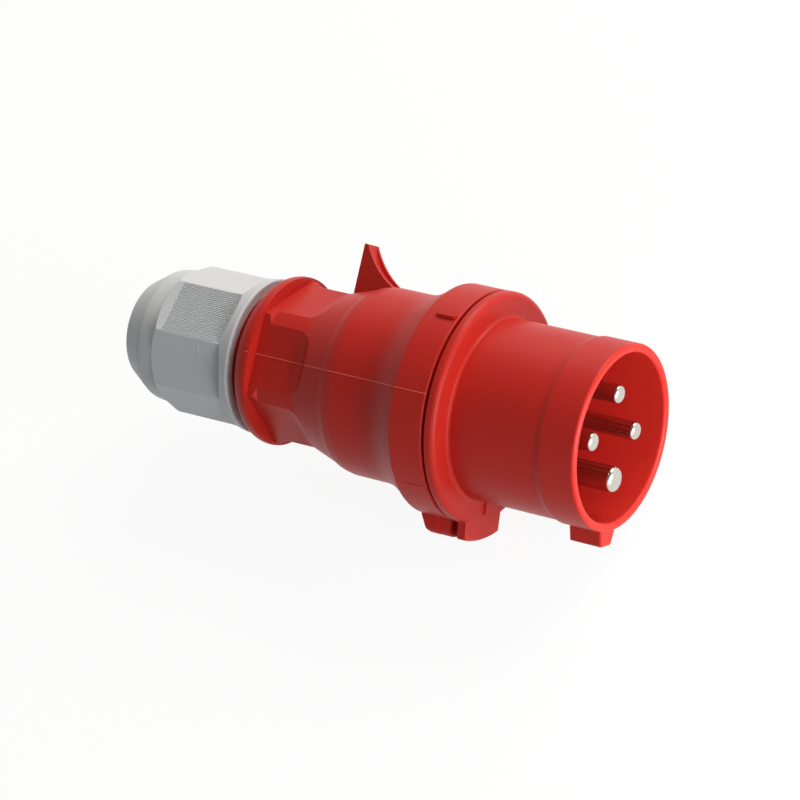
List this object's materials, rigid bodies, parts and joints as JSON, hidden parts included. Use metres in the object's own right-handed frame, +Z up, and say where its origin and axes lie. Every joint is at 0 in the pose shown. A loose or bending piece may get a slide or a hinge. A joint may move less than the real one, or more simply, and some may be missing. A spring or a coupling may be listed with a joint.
{
  "type": "industrial pin and sleeve plug",
  "caption": "Straight industrial plug with a keyed sleeve around round contacts, a gripped handle with a hook, and a twist-on cable gland.",
  "frame": {"origin": "on the plug's axis, at the floor of the sleeve, which is level with the flange's front face", "axes": "+X along the axis towards the contacts' tips, +Z up as the plug lies on a table"},
  "size_m": [0.1496, 0.062, 0.0626],
  "materials": {
    "red_shell": "moulded polyamide, semi-gloss",
    "grey_nut": "moulded polyamide, satin",
    "carrier": "moulded polyamide, matte",
    "clamp": "natural polyamide",
    "rubber": "moulded rubber",
    "contacts": "nickel-plated, turned",
    "screws": "zinc-plated"
  },
  "bodies": {
    "housing": {"sleeve_housing": "red_shell", "handle_housing": "red_shell", "clamp_cage": "clamp", "gland_seal": "rubber", "housing_seal": "rubber", "contact_carrier": "carrier", "carrier_cover": "carrier", "carrier_screws": "screws", "phase_terminal_screws": "screws", "earth_terminal_screw": "screws", "pin_l1": "contacts", "wire_clamp_l1": "screws", "pin_l2": "contacts", "wire_clamp_l2": "screws", "pin_l3": "contacts", "wire_clamp_l3": "screws", "pin_earth": "contacts", "wire_clamp_earth": "screws"},
    "thrust": {"slip_washer": "clamp"},
    "nut": {"gland_nut": "grey_nut"}
  },
  "joints": [
    {"name": "nut_travel", "type": "slide", "parent": "housing", "child": "thrust", "axis": [1, 0, 0], "range_m": [-0.0091, 0.0025]},
    {"name": "nut_turn", "type": "hinge", "parent": "thrust", "child": "nut", "pos_m": [-0.0915, 0, 0], "axis": [1, 0, 0], "range_deg": [-1080, 288]}
  ],
  "couplings": [
    {"joint": "nut_travel", "follows": "nut_turn", "m_per_rad": 0.00047746}
  ]
}
